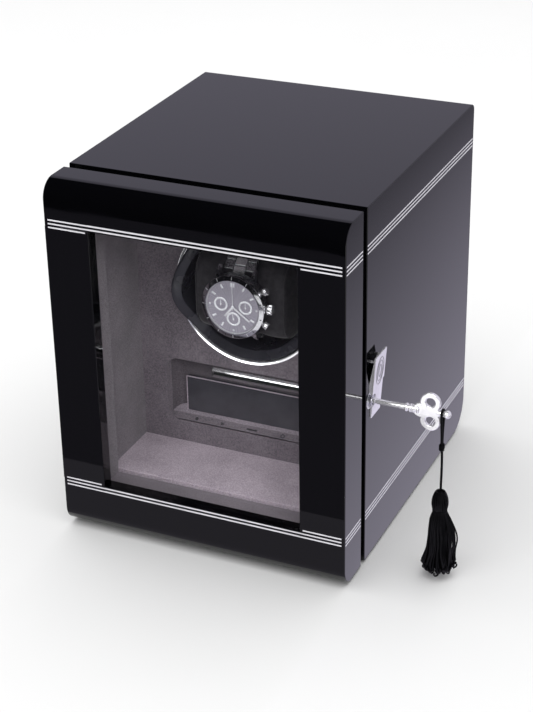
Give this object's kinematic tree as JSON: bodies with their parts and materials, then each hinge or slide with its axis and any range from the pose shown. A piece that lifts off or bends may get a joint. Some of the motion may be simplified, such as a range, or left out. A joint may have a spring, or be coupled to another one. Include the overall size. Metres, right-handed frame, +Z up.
{
  "type": "watch winder box",
  "caption": "Glazed lacquered box that turns one watch on a motor driven cup, with a hinged door, console display, side lock, key and tassel.",
  "frame": {"origin": "centre of the case's underside, in the middle of the box footprint; the foot pads reach 1.5 mm below it", "axes": "+X to the lock side, right as seen from the front; +Y from the door to the back; +Z up"},
  "size_m": [0.2402, 0.216, 0.2285],
  "materials": {
    "lacquer": "high-gloss black piano lacquer over fibreboard",
    "groove_black": "satin black painted frame",
    "suede": "grey-mauve suede",
    "suede_floor": "grey-mauve suede, lighter floor",
    "board": "bare fibreboard",
    "inlay": "polished metal inlay",
    "chrome": "polished chrome",
    "steel": "brushed steel",
    "brass": "satin brass",
    "glass": "clear float glass",
    "display": "black glossy display window",
    "marking": "dark printed marks",
    "cup_plastic": "glossy black moulding",
    "back_plastic": "satin black cover",
    "gear_plastic": "natural acetal",
    "pcb": "green circuit board",
    "cushion": "black velvet",
    "dial": "dark sunburst dial",
    "pad": "pale felt-faced rubber",
    "thread": "black rayon thread"
  },
  "bodies": {
    "case": {"left_side_panel": "lacquer", "right_side_panel": "lacquer", "top_panel": "lacquer", "bottom_panel": "lacquer", "back_panel": "back_plastic", "back_panel_screws": "steel", "corner_blocks": "board", "neck_frame": "groove_black", "left_inlays": "inlay", "right_inlays": "inlay", "lining_left": "suede", "lining_right": "suede", "lining_ceiling": "suede", "lining_floor": "suede_floor", "floor_plinth": "board", "fascia_panel": "suede", "aperture_ring": "chrome", "console_tray": "suede", "display_window": "display", "display_module": "pcb", "light_bar": "chrome", "console_markings": "marking", "front_plate": "steel", "rear_plate": "steel", "plate_posts": "brass", "plate_screws": "steel", "shaft_bushes": "brass", "drive_motor": "steel", "control_board": "pcb", "dc_jack": "groove_black", "foot_pads": "pad", "case_hinge_leaves": "brass", "hinge_pins": "brass", "lock_housing": "brass", "escutcheon": "chrome", "escutcheon_pins": "chrome"},
    "door": {"door_top_rail": "lacquer", "door_bottom_rail": "lacquer", "door_left_stile": "lacquer", "door_right_stile": "lacquer", "door_front_inlays": "inlay", "door_side_inlays": "inlay", "door_glass": "glass", "door_hinge_leaves": "brass", "glass_keeper": "suede", "strike_plate": "chrome"},
    "rotor": {"rotor_cup": "cup_plastic", "rotor_shaft": "steel", "rotor_gear": "gear_plastic"},
    "pinion": {"motor_pinion": "brass"},
    "watch_holder": {"watch_cushion": "cushion", "watch_case": "steel", "watch_dial": "dial", "watch_crystal": "glass", "watch_bracelet": "steel"},
    "lock": {"lock_plug": "brass", "lock_cam": "steel"},
    "key": {"key": "chrome"},
    "tassel": {"tassel_cord": "thread", "tassel_skirt": "thread"}
  },
  "joints": [
    {"name": "door_hinge", "type": "hinge", "parent": "case", "child": "door", "pos_m": [-0.09, -0.0795, 0], "axis": [0, 0, -1], "range_deg": [0, 95]},
    {"name": "rotor_spin", "type": "hinge", "parent": "case", "child": "rotor", "pos_m": [0, 0, 0.1415], "axis": [0, 1, 0], "continuous": true},
    {"name": "pinion_spin", "type": "hinge", "parent": "case", "child": "pinion", "pos_m": [0.03, 0, 0.1415], "axis": [0, 1, 0], "continuous": true},
    {"name": "cushion_slide", "type": "slide", "parent": "rotor", "child": "watch_holder", "axis": [0, -1, 0], "range_m": [0, 0.03]},
    {"name": "lock_turn", "type": "hinge", "parent": "case", "child": "lock", "pos_m": [0, -0.07, 0.106], "axis": [1, 0, 0], "range_deg": [0, 90]},
    {"name": "key_slide", "type": "slide", "parent": "lock", "child": "key", "axis": [1, 0, 0], "range_m": [0, 0.03]},
    {"name": "tassel_hang", "type": "hinge", "parent": "key", "child": "tassel", "pos_m": [0.1362, -0.07, 0.106], "axis": [1, 0, 0], "range_deg": [-92, 2]}
  ],
  "couplings": [
    {"joint": "pinion_spin", "follows": "rotor_spin", "ratio": -4},
    {"joint": "tassel_hang", "follows": "lock_turn", "ratio": -1}
  ]
}
